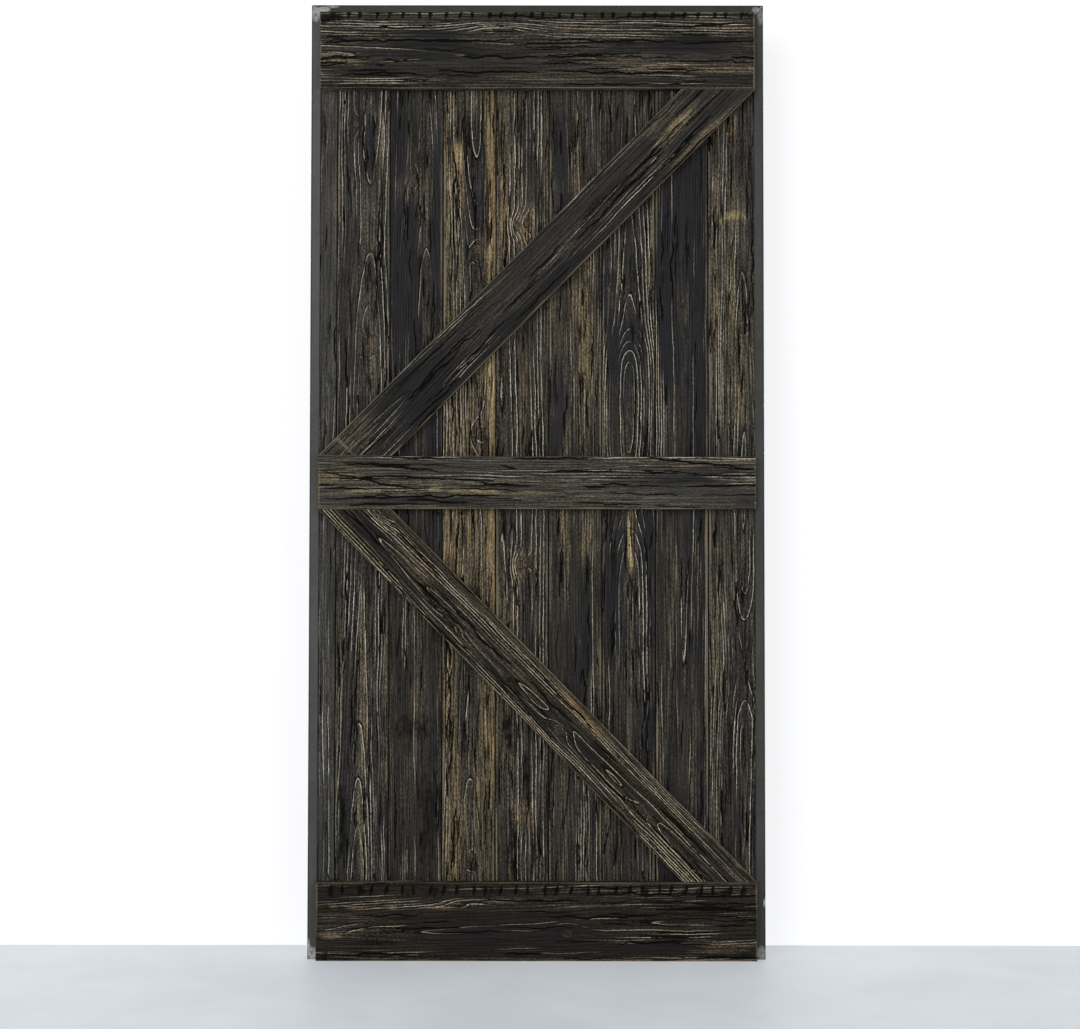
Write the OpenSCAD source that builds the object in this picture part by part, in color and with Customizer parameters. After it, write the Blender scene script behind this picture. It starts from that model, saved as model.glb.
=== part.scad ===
// Barn door leaf in a steel frame.
// Tongue and groove planks stand in a mitred, welded channel frame. Three rails and two
// corner-to-corner braces lie on their face and are screwed on from behind.
// Millimetres. X runs to the right, the face looks along -Y and Z is up.
// The origin is the middle of the bottom edge, on the centre plane of the channel.

/* [Leaf] */
// Overall width of the leaf
leaf_w = 1000; // [700:10:1400]
// Overall height of the leaf
leaf_h = 2100; // [1600:10:2600]

/* [Steel frame] */
// Wall of the folded steel channel
channel_wall = 3; // [2:0.5:4]
// Depth of the channel's flanges, seen from the front as the steel border
flange_w = 20; // [16:1:40]
// Radius along the two outer edges of the channel
channel_edge_r = 2; // [0.5:0.5:2]
// Play of the planks between the two flanges, both sides together
channel_play = 0.5; // [0.2:0.1:1]
// Reach of a corner weld along each member from the mitre
weld_leg = 1.4; // [0.7:0.1:3]

/* [Planks] */
// Thickness of the planks
plank_t = 22; // [18:1:35]
// Width that a full plank covers
plank_cover = 117; // [80:1:180]
// Width of the first, ripped plank that shows beside the left stile
first_plank_show = 38; // [24:1:80]
// Narrowest strip that the last plank may be ripped to
narrowest_rip = 20; // [16:1:40]
// Length of a tongue
tongue_l = 8; // [5:0.5:10]
// Thickness of a tongue
tongue_t = 6; // [4:0.5:8]
// Play of a tongue on each side of its groove
tongue_play = 0.3; // [0.1:0.1:0.6]
// Open line between two planks
joint_gap = 0.6; // [0.2:0.1:2]
// Chamfer along a joint on the face
face_chamfer = 2.5; // [1:0.5:4]
// Chamfer along a joint on the back
back_chamfer = 1; // [0.5:0.5:3]
// Room for the planks to swell inside the head and the stiles
swell_gap = 4; // [1:0.5:8]

/* [Rails and braces] */
// Thickness of the rails and braces
rail_t = 22; // [18:1:35]
// Height of the top and bottom rails
wide_rail_h = 170; // [120:5:220]
// Height of the middle rail
mid_rail_h = 115; // [80:5:180]
// Width of the braces
brace_w = 115; // [80:5:160]
// Chamfer along the face edges of rails and braces
arris = 1.5; // [0.5:0.5:3]
// Gap round the rails, and between a brace and the rails it meets
rail_fit = 0.5; // [0.2:0.1:2]

/* [Chop marks] */
// Length of a chop mark
chop_l = 26; // [16:1:40]
// Width of a chop mark
chop_w = 8; // [4:0.5:12]
// Depth of a chop mark
chop_d = 3; // [1:0.5:5]
// Mean spacing of the marks
chop_pitch = 31; // [20:1:60]
// How far a mark strays from even spacing
chop_stray = 4; // [0:0.5:5]
// Mean lean of the marks from upright
chop_lean = 9; // [0:1:20]
// Middle of the marks below the top rail's upper edge
top_chop_drop = 5; // [2:1:15]
// Middle of the marks below the bottom rail's upper edge
bottom_chop_drop = 17; // [10:1:40]

/* [Screws] */
// Shank diameter
screw_d = 5; // [4:0.5:6]
// Head diameter
screw_head_d = 10; // [8:0.5:12]
// Length of screw that bites into a rail or brace
screw_bite = 15; // [8:1:15]
// Play of a screw in its hole, on the diameter
screw_play = 0.2; // [0.1:0.1:0.5]
// Least height of a brace screw from the brace's end cut
screw_end = 15; // [10:1:60]
// Length of the cross recess in a screw head
recess_l = 5; // [3:0.5:6]
// Width of the cross recess
recess_w = 1.2; // [0.8:0.1:2]
// Depth of the cross recess
recess_d = 1.8; // [1:0.1:2.5]

/* [Hidden] */
$fn = 48;
// Step that scatters the chop marks without a visible repeat, in degrees
scatter_step = 137.5;
// Share of the mean lean by which single marks differ
lean_spread = 0.7;
// How far a cutter runs past the face that it opens in
cut_past = 1;

// Channel section
channel_in = plank_t + channel_play;
channel_d = channel_in + 2 * channel_wall;

// Field of planks that shows between the flanges
field_w = leaf_w - 2 * flange_w;
panel_w = leaf_w - 2 * (channel_wall + swell_gap);
plank_h = leaf_h - 2 * channel_wall - swell_gap;
n_joints = floor((field_w - first_plank_show - narrowest_rip) / plank_cover) + 1;
n_planks = n_joints + 1;

// Rails, from the floor up
rail_l = field_w - 2 * rail_fit;
bottom_rail_z = 0;
top_rail_z = leaf_h - flange_w - rail_fit - wide_rail_h;
mid_rail_z = (bottom_rail_z + wide_rail_h + top_rail_z - mid_rail_h) / 2;

// Braces: the upper edge starts in one corner of the opening, the lower edge ends in the other
brace_h = mid_rail_z - bottom_rail_z - wide_rail_h - 2 * rail_fit;
brace_angle = atan2(brace_h, rail_l) + asin(brace_w / norm([rail_l, brace_h]));
lower_brace_mid = mid_rail_z - rail_fit - brace_h / 2;
upper_brace_mid = mid_rail_z + mid_rail_h + rail_fit + brace_h / 2;

// Disc whose edge makes a chop of the given length and depth
chop_r = (pow(chop_l / 2, 2) + pow(chop_d, 2)) / (2 * chop_d);

screw_l = plank_t + screw_bite;
screw_head_h = (screw_head_d - screw_d) / 2;

steel_colour = [0.25, 0.25, 0.26];
bare_steel_colour = [0.52, 0.52, 0.50];
plank_colour = [0.20, 0.17, 0.14];
board_colour = [0.16, 0.14, 0.13];
zinc_colour = [0.70, 0.69, 0.64];

// Joints are numbered from the left, and so are planks
function joint_x(j) = -field_w / 2 + first_plank_show + (j - 1) * plank_cover;
function plank_left(k) = k == 1 ? -panel_w / 2 : joint_x(k - 1) + joint_gap / 2;
function plank_right(k) = k == n_planks ? panel_w / 2 : joint_x(k) - joint_gap / 2;
function shown_mid(k) =
    (max(plank_left(k), -field_w / 2) + min(plank_right(k), field_w / 2)) / 2;

// Screw places as [x, z]: two to a plank on a rail, one where a brace crosses it
function rail_screws(z, h) =
    [for (k = [1:n_planks], row = [-1, 1]) [shown_mid(k), z + h / 2 + row * h / 4]];
function brace_screws(mid_z, rise) =
    [for (k = [1:n_planks])
        let (dz = shown_mid(k) * tan(brace_angle))
        if (abs(dz) < brace_h / 2 - screw_end) [shown_mid(k), mid_z + rise * dz]];

top_screws = rail_screws(top_rail_z, wide_rail_h);
mid_screws = rail_screws(mid_rail_z, mid_rail_h);
bottom_screws = rail_screws(bottom_rail_z, wide_rail_h);
upper_screws = brace_screws(upper_brace_mid, 1);
lower_screws = brace_screws(lower_brace_mid, -1);
all_screws = concat(top_screws, mid_screws, bottom_screws, upper_screws, lower_screws);

// Steel frame

// Section of the channel: x across its depth, y from the web's outer face to the flange tips
module channel_section() {
    difference() {
        union() {
            translate([-channel_d / 2, channel_edge_r])
                square([channel_d, flange_w - channel_edge_r]);
            translate([-channel_d / 2 + channel_edge_r, 0])
                square([channel_d - 2 * channel_edge_r, flange_w]);
            for (side = [-1, 1])
                translate([side * (channel_d / 2 - channel_edge_r), channel_edge_r])
                    circle(channel_edge_r);
        }
        translate([-channel_in / 2, channel_wall])
            square([channel_in, flange_w]);
    }
}

// Channel along the left edge and along the bottom edge, before its ends are mitred
module stile_bar() {
    translate([-leaf_w / 2, 0, 0])
        linear_extrude(leaf_h)
            rotate(-90)
                channel_section();
}

module sill_bar() {
    rotate([90, 0, 90])
        linear_extrude(leaf_w, center = true)
            channel_section();
}

// Prism right through the leaf with the given outline in X and Z
module through(outline) {
    rotate([90, 0, 0])
        linear_extrude(channel_d + 2 * cut_past, center = true)
            polygon(outline);
}

module mitred_stile() {
    x0 = -leaf_w / 2;
    intersection() {
        stile_bar();
        through([
            [x0, weld_leg],
            [x0 + flange_w, flange_w + weld_leg],
            [x0 + flange_w, leaf_h - flange_w - weld_leg],
            [x0, leaf_h - weld_leg]]);
    }
}

module mitred_sill() {
    x1 = leaf_w / 2 - weld_leg;
    intersection() {
        sill_bar();
        through([
            [-x1, 0],
            [x1, 0],
            [x1 - flange_w, flange_w],
            [-x1 + flange_w, flange_w]]);
    }
}

// Weld in the lower left mitre, ground flush with both members
module corner_weld() {
    x0 = -leaf_w / 2;
    inner = [x0 + flange_w, flange_w];
    intersection() {
        stile_bar();
        through([[x0, 0], inner, inner + [0, weld_leg], [x0, weld_leg]]);
    }
    intersection() {
        sill_bar();
        through([[x0, 0], [x0 + weld_leg, 0], inner + [weld_leg, 0], inner]);
    }
}

// The same shape at the other end of the leaf's height
module turned_to_top() {
    translate([0, 0, leaf_h])
        mirror([0, 0, 1])
            children();
}

module frame_stile_left() {
    color(steel_colour) mitred_stile();
}

module frame_stile_right() {
    color(steel_colour) mirror([1, 0, 0]) mitred_stile();
}

module frame_sill() {
    color(steel_colour) mitred_sill();
}

module frame_head() {
    color(steel_colour) turned_to_top() mitred_sill();
}

module corner_welds() {
    color(bare_steel_colour)
        for (side = [0, 1]) {
            mirror([side, 0, 0]) corner_weld();
            turned_to_top() mirror([side, 0, 0]) corner_weld();
        }
}

// Screws

// Turned form of a countersunk screw, head at z = 0, enlarged by the play for its hole
module screw_form(play = 0) {
    grow = play / 2;
    top = play > 0 ? -cut_past : 0;
    rotate_extrude()
        polygon([
            [0, top],
            [screw_head_d / 2 + grow, top],
            [screw_head_d / 2 + grow, 0],
            [screw_d / 2 + grow, screw_head_h],
            [screw_d / 2 + grow, screw_l - screw_d],
            [0, screw_l + grow]]);
}

// Children at each place, driven in from the back of the planks
module driven_at(places) {
    for (place = places)
        translate([place[0], plank_t / 2, place[1]])
            rotate([90, 0, 0])
                children();
}

module screw() {
    difference() {
        screw_form();
        for (turn = [0, 90])
            rotate(turn)
                translate([-recess_l / 2, -recess_w / 2, -cut_past])
                    cube([recess_l, recess_w, recess_d + cut_past]);
    }
}

module screws(places) {
    color(zinc_colour) driven_at(places) screw();
}

// Planks

module plank_section(k) {
    x0 = plank_left(k);
    x1 = plank_right(k);
    front = -plank_t / 2;
    back = plank_t / 2;
    // A ripped edge, hidden in a stile, has no chamfer
    left_face = k == 1 ? 0 : face_chamfer;
    left_back = k == 1 ? 0 : back_chamfer;
    right_face = k == n_planks ? 0 : face_chamfer;
    right_back = k == n_planks ? 0 : back_chamfer;
    difference() {
        union() {
            polygon([
                [x0, front + left_face],
                [x0 + left_face, front],
                [x1 - right_face, front],
                [x1, front + right_face],
                [x1, back - right_back],
                [x1 - right_back, back],
                [x0 + left_back, back],
                [x0, back - left_back]]);
            if (k < n_planks)
                translate([x1 - cut_past, -tongue_t / 2])
                    square([tongue_l + cut_past, tongue_t]);
        }
        if (k > 1)
            translate([x0 - cut_past, -tongue_t / 2 - tongue_play])
                square([tongue_l + cut_past, tongue_t + 2 * tongue_play]);
    }
}

module plank(k) {
    holes = [for (place = all_screws) if (place[0] == shown_mid(k)) place];
    color(plank_colour)
        difference() {
            translate([0, 0, channel_wall])
                linear_extrude(plank_h)
                    plank_section(k);
            driven_at(holes) screw_form(screw_play);
        }
}

// Rails and braces

// Section of a board that lies with its back at y = 0
module board_section(w) {
    polygon([
        [-w / 2, 0],
        [w / 2, 0],
        [w / 2, rail_t - arris],
        [w / 2 - arris, rail_t],
        [-w / 2 + arris, rail_t],
        [-w / 2, rail_t - arris]]);
}

// Board along X on the face of the planks, centred, with its long face edges chamfered
module board(l, w) {
    translate([0, -plank_t / 2, 0])
        rotate([180, -90, 0])
            linear_extrude(l, center = true)
                board_section(w);
}

// Board with the chamfer carried round its ends as well
module rail(z, h) {
    translate([0, 0, z + h / 2])
        intersection() {
            board(rail_l, h);
            translate([0, -plank_t / 2, 0])
                rotate([180, 0, 0])
                    linear_extrude(h, center = true)
                        board_section(rail_l);
        }
}

// Cutter for one chop: a disc with a V edge, its middle on the face of a rail
module chop_disc() {
    reach = chop_w / 2 + cut_past;
    for (side = [0, 1])
        translate([0, -plank_t / 2 - rail_t + chop_d - chop_r, 0])
            rotate([0, 90, 0])
                mirror([0, 0, side])
                    cylinder(h = reach, r1 = chop_r, r2 = chop_r - chop_d * reach / (chop_w / 2));
}

// Uneven row of chops along a rail at height z; the seed sets the order of its strays
module chop_row(z, seed) {
    count = floor(rail_l / chop_pitch);
    for (i = [0:count - 1]) {
        stray = sin((i + seed) * scatter_step);
        lean = chop_lean * (1 + lean_spread * cos((i + seed) * scatter_step * 2));
        translate([(i - (count - 1) / 2) * chop_pitch + stray * chop_stray, 0, z])
            rotate([0, lean, 0])
                chop_disc();
    }
}

module top_rail() {
    color(board_colour)
        difference() {
            rail(top_rail_z, wide_rail_h);
            chop_row(top_rail_z + wide_rail_h - top_chop_drop, 0);
            driven_at(top_screws) screw_form(screw_play);
        }
}

module middle_rail() {
    color(board_colour)
        difference() {
            rail(mid_rail_z, mid_rail_h);
            driven_at(mid_screws) screw_form(screw_play);
        }
}

// The bottom rail reaches the floor, rebated over the sill's front flange
module bottom_rail() {
    rebate_y = -channel_d / 2 - rail_fit;
    color(board_colour)
        difference() {
            rail(bottom_rail_z, wide_rail_h);
            translate([-rail_l / 2 - cut_past, rebate_y, -cut_past])
                cube([rail_l + 2 * cut_past, channel_d, flange_w + rail_fit + cut_past]);
            chop_row(bottom_rail_z + wide_rail_h - bottom_chop_drop, n_planks);
            driven_at(bottom_screws) screw_form(screw_play);
        }
}

// Brace between two rails, rising to the right (1) or falling to the right (-1)
module brace(mid_z, rise, places) {
    color(board_colour)
        difference() {
            translate([0, 0, mid_z])
                intersection() {
                    rotate([0, -rise * brace_angle, 0])
                        board(rail_l + brace_h, brace_w);
                    cube([rail_l, plank_t + 2 * rail_t + cut_past, brace_h], center = true);
                }
            driven_at(places) screw_form(screw_play);
        }
}

module upper_brace() {
    brace(upper_brace_mid, 1, upper_screws);
}

module lower_brace() {
    brace(lower_brace_mid, -1, lower_screws);
}

for (k = [1:n_planks])
    plank(k);
top_rail();
middle_rail();
bottom_rail();
upper_brace();
lower_brace();
frame_head();
frame_sill();
frame_stile_left();
frame_stile_right();
corner_welds();
screws(top_screws);  // top_rail_screws
screws(mid_screws);  // middle_rail_screws
screws(bottom_screws);  // bottom_rail_screws
screws(upper_screws);  // upper_brace_screws
screws(lower_screws);  // lower_brace_screws
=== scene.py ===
import math

import bmesh
import bpy
import numpy as np
from mathutils import Matrix, Vector


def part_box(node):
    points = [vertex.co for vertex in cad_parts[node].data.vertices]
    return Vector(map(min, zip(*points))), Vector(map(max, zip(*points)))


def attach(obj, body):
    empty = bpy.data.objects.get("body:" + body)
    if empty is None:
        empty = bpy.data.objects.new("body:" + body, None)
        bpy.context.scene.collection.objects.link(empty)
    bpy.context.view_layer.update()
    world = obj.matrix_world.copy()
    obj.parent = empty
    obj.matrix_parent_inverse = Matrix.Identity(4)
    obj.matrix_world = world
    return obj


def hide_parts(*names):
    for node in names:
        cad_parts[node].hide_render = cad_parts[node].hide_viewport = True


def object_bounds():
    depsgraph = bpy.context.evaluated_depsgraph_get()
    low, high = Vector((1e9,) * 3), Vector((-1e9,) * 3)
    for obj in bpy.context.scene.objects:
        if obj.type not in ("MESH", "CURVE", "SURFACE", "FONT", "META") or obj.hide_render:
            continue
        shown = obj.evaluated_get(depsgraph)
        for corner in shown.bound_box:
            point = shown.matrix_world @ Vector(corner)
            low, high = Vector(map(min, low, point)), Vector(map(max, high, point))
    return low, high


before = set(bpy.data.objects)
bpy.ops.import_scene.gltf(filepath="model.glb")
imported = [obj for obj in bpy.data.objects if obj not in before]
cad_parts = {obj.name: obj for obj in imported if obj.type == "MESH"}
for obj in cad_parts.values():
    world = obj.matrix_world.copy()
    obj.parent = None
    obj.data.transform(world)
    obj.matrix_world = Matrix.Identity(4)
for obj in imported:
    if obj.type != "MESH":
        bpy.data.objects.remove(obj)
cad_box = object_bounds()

# Sizes taken from the frame, in metres
LEAF_HALF_W = cad_box[1].x
LEAF_H = cad_box[1].z
FLANGE_FACE_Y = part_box("frame_sill")[0].y

# Sizes of the joinery that the boxes don't give, in metres
FACE_CHAMFER = 0.0025
BACK_CHAMFER = 0.001
TONGUE_L = 0.008
TONGUE_T = 0.006
TONGUE_PLAY = 0.0003
RAIL_ARRIS = 0.0015

# Mesh spacing of the boards, in metres
FACE_STEP = 0.0016
BACK_STEP = 0.006
GRAIN_STEP = 0.006
CHOPPED_STEP = 0.003

MM = 1000.0


# Noise on a lattice, for fields that are worked out at each vertex

def lattice(i, j, seed):
    """Repeatable value from -1 to 1 at each lattice point."""
    h = (i * 374761393 + j * 668265263 + seed * 974634777) & 0xFFFFFFFF
    h = ((h ^ (h >> 13)) * 1274126177) & 0xFFFFFFFF
    h = h ^ (h >> 16)
    return h / 0x7FFFFFFF - 1.0


def noise(a, b, seed):
    """Smooth noise from about -1 to 1 over the plane (a, b)."""
    i, j = np.floor(a).astype(np.int64), np.floor(b).astype(np.int64)
    s, t = a - i, b - j
    s = s * s * s * (s * (s * 6 - 15) + 10)
    t = t * t * t * (t * (t * 6 - 15) + 10)
    low = lattice(i, j, seed) * (1 - s) + lattice(i + 1, j, seed) * s
    high = lattice(i, j + 1, seed) * (1 - s) + lattice(i + 1, j + 1, seed) * s
    return low * (1 - t) + high * t


def layered(a, b, seed, layers=3):
    """Noise with finer layers of half the strength added."""
    total, strength = 0, 1
    for k in range(layers):
        total = total + strength * noise(a * 2 ** k, b * 2 ** k, seed + 17 * k)
        strength /= 2
    return total


def ramp(x, low, high):
    """Smooth step from 0 at low to 1 at high."""
    t = np.clip((x - low) / (high - low), 0, 1)
    return t * t * (3 - 2 * t)


# Character of each board: where the heart of its tree lay, how it is stained and worn. Lengths are in mm.
# pith: the heart's offset across from the board's middle, at the board's start and at its end;
# depth: heart below the face; taper: rise of that depth per metre of grain;
# swells: (x, z, half length, rise), places where the depth rises or falls quickly;
# ring: width of a year's growth.
# tan, lines, cool: mean share of worn, lined and blue-black surface; light: lift of the stain's tone;
# warm: shift of its hue towards red; dry: number of drying cracks against the usual;
# foot_wear: wear along the lower edge.
# patches: (x, z, half width, half height, tan, lines, cool), what a place has more or less of them,
# where a brace has half length and half breadth;
# knots, and eyes where the grain parts round nothing: (x, z, radius);
# cracks: (x, z, length, drift across); burns: (x, z, half width, half height, strength);
# rusts: (x, z, half width, half height, warmth), where the hue is redder than the board's.

PLANKS = {
    1: dict(
        pith=(34, 30), depth=54, taper=8, ring=5, tan=0.09, lines=0.11, cool=0.06, light=0.26,
        warm=-0.8, dry=0.6,
        patches=[(-468, 480, 40, 420, 0.0, 0.05, 0.25)]),
    2: dict(
        pith=(-10, 22), depth=30, taper=4, ring=5, tan=0.14, lines=0.26, cool=0.16, warm=-0.5,
        swells=[(-370, 1500, 130, 6), (-370, 1720, 130, -6), (-394, 380, 170, 11)],
        knots=[(-401, 1835, 6), (-373, 1338, 7)],
        patches=[(-370, 1802, 18, 30, -0.1, 0.0, 0.6), (-345, 1600, 18, 500, 0.14, 0.30, -0.1),
                 (-368, 1866, 8, 34, 0.3, 0.4, -0.2), (-415, 1500, 24, 300, -0.05, -0.15, 0.1),
                 (-382, 520, 18, 300, 0.22, 0.55, -0.2), (-410, 470, 20, 330, -0.1, 0.1, 0.1),
                 (-332, 640, 8, 400, 0.45, 0.0, -0.2)],
        burns=[(-425, 290, 9, 110, 0.8), (-398, 560, 5, 90, 0.6)]),
    3: dict(
        pith=(24, 24), depth=24, taper=10, ring=5, tan=0.05, lines=0.10, cool=0.55,
        swells=[(-242, 1660, 200, 9)],
        knots=[(-273, 1714, 7)],
        patches=[(-242, 1740, 18, 300, 0.05, 0.50, -0.2), (-275, 1480, 34, 160, -0.1, -0.2, 0.4),
                 (-285, 1700, 26, 30, 0.22, 0.0, -0.5), (-267, 564, 16, 35, 0.24, 0.1, -0.4),
                 (-261, 400, 90, 400, 0.03, 0.0, -0.45), (-287, 404, 24, 80, 0.18, 0.0, -0.5),
                 (-238, 310, 26, 140, -0.1, -0.1, 0.1), (-277, 208, 18, 34, 0.3, 0.25, -0.4),
                 (-225, 1900, 12, 60, 0.1, 0.2, -0.3)],
        burns=[(-262, 507, 60, 34, 0.60), (-236, 290, 25, 150, 0.62), (-300, 640, 14, 110, 0.52),
               (-222, 700, 12, 130, 0.55)]),
    4: dict(
        pith=(2, 20), depth=30, taper=0, ring=5.5, tan=0.26, lines=0.34, cool=0.12, dry=1.5,
        swells=[(-130, 1640, 180, -9), (-148, 330, 170, 9)],
        knots=[(-132, 1556, 9), (-126, 1148, 9), (-142, 222, 8)],
        patches=[(-196, 1300, 9, 900, 0.4, 0.0, -0.2), (-170, 1762, 13, 34, 1.0, -0.3, -0.3),
                 (-168, 1690, 14, 50, 0.3, -0.1, -0.2), (-98, 1350, 12, 700, 0.58, -0.5, -0.2),
                 (-146, 1700, 20, 150, -0.35, 0.4, 0.35), (-150, 900, 46, 160, 0.25, 0.0, -0.1),
                 (-150, 440, 13, 300, 0.0, 0.45, 0.0), (-102, 380, 17, 260, 0.48, -0.3, -0.2),
                 (-178, 420, 12, 300, 0.32, -0.1, -0.2), (-150, 1290, 46, 160, 0.12, 0.2, -0.1),
                 (-140, 420, 50, 260, 0.08, 0.0, 0.0), (-98, 1235, 12, 130, 0.35, -0.2, -0.2),
                 (-98, 860, 12, 120, 0.5, -0.3, -0.2)],
        burns=[(-140, 205, 16, 22, 0.7), (-152, 1690, 5, 60, 0.6)],
        rusts=[(-98, 1100, 15, 980, 0.45)]),
    5: dict(
        pith=(-46, -46), depth=24, taper=3, ring=7.5, tan=0.15, lines=0.52, cool=0.06, light=0.06,
        warm=0.2,
        knots=[(-44, 1609, 6), (-22, 1615, 7), (-37, 859, 7), (-18, 866, 6)],
        patches=[(-75, 1700, 12, 220, 0.4, -0.2, 0.0), (-20, 1600, 30, 40, 0.35, 0.1, 0.0),
                 (-10, 1760, 18, 140, -0.05, -0.25, 0.1), (-30, 860, 30, 40, 0.35, 0.0, 0.0),
                 (-25, 318, 26, 26, 0.4, 0.0, -0.1), (-60, 700, 20, 200, 0.2, 0.0, 0.0),
                 (-20, 1250, 40, 150, 0.1, -0.2, 0.0)],
        burns=[(-62, 500, 10, 60, 0.75), (-25, 410, 12, 45, 0.75), (-50, 250, 9, 70, 0.75),
               (-8, 240, 8, 60, 0.7)]),
    6: dict(
        pith=(-40, -40), depth=34, taper=8, ring=5, tan=0.24, lines=0.16, cool=0.20,
        patches=[(112, 1800, 26, 260, 0.20, 0.0, -0.3), (60, 900, 16, 150, 0.1, 0.5, -0.3),
                 (55, 1780, 20, 260, -0.25, 0.0, 0.4), (96, 925, 34, 60, 0.25, 0.1, -0.2),
                 (85, 720, 40, 170, -0.3, -0.1, 0.5), (105, 1330, 34, 200, 0.25, 0.0, -0.2),
                 (50, 1180, 18, 120, -0.25, 0.0, 0.4)]),
    7: dict(
        pith=(4, 4), depth=45, taper=0, ring=5, tan=0.10, lines=0.28, cool=0.30,
        swells=[(205, 1340, 45, 11), (205, 1450, 120, 4.5), (205, 1040, 40, -20), (205, 930, 70, 10)],
        patches=[(200, 1335, 44, 70, -0.2, 0.0, 0.65), (203, 952, 5, 34, 1.6, 0.2, -0.5),
                 (206, 880, 5, 46, 1.4, 0.2, -0.5), (206, 1420, 26, 170, -0.05, 0.50, 0.15),
                 (227, 1180, 14, 120, 0.0, 0.50, 0.1), (172, 850, 20, 170, -0.2, -0.2, 0.7),
                 (240, 900, 16, 70, -0.2, -0.4, 0.8), (222, 740, 16, 160, 0.2, 0.5, -0.3),
                 (170, 1150, 22, 120, 0.0, -0.25, 0.2)]),
    8: dict(
        pith=(5, 5), depth=17, taper=-10, ring=5, tan=0.05, lines=0.07, cool=0.80, dry=0.45,
        patches=[(318, 1250, 14, 250, 0.05, 0.08, -0.3), (324, 760, 10, 170, 0.05, 0.75, -0.4),
                 (324, 615, 5, 60, 0.3, 0.4, -0.3), (285, 650, 26, 320, 0.34, 0.0, -0.7),
                 (345, 430, 24, 130, 0.2, 0.0, -0.5), (350, 700, 14, 300, 0.2, 0.15, -0.6),
                 (330, 1650, 40, 200, -0.1, -0.1, 0.2), (290, 1150, 24, 120, 0.15, 0.05, -0.5)]),
    9: dict(
        pith=(17, 19), depth=26, taper=0, ring=5, tan=0.27, lines=0.26, cool=0.08, warm=-0.3,
        swells=[(454, 1420, 90, 6), (452, 740, 90, -9), (455, 560, 60, 8)],
        knots=[(454, 1377, 6)],
        patches=[(409, 1621, 10, 9, 0.5, -0.2, -0.2), (428, 1633, 14, 9, 0.7, -0.2, -0.2),
                 (446, 1633, 10, 9, 0.45, -0.2, -0.2), (460, 1623, 7, 11, 0.3, -0.1, -0.1),
                 (426, 1829, 14, 26, 0.5, 0.0, -0.2), (450, 1250, 12, 150, 0.2, 0.2, 0.0),
                 (455, 700, 20, 220, -0.25, 0.55, 0.15), (400, 900, 18, 200, 0.0, -0.1, 0.0),
                 (455, 1100, 10, 80, -0.3, 0.1, 0.4), (430, 330, 46, 200, -0.2, 0.0, 0.2)],
        burns=[(398, 1606, 16, 14, 0.6)]),
}

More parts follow.
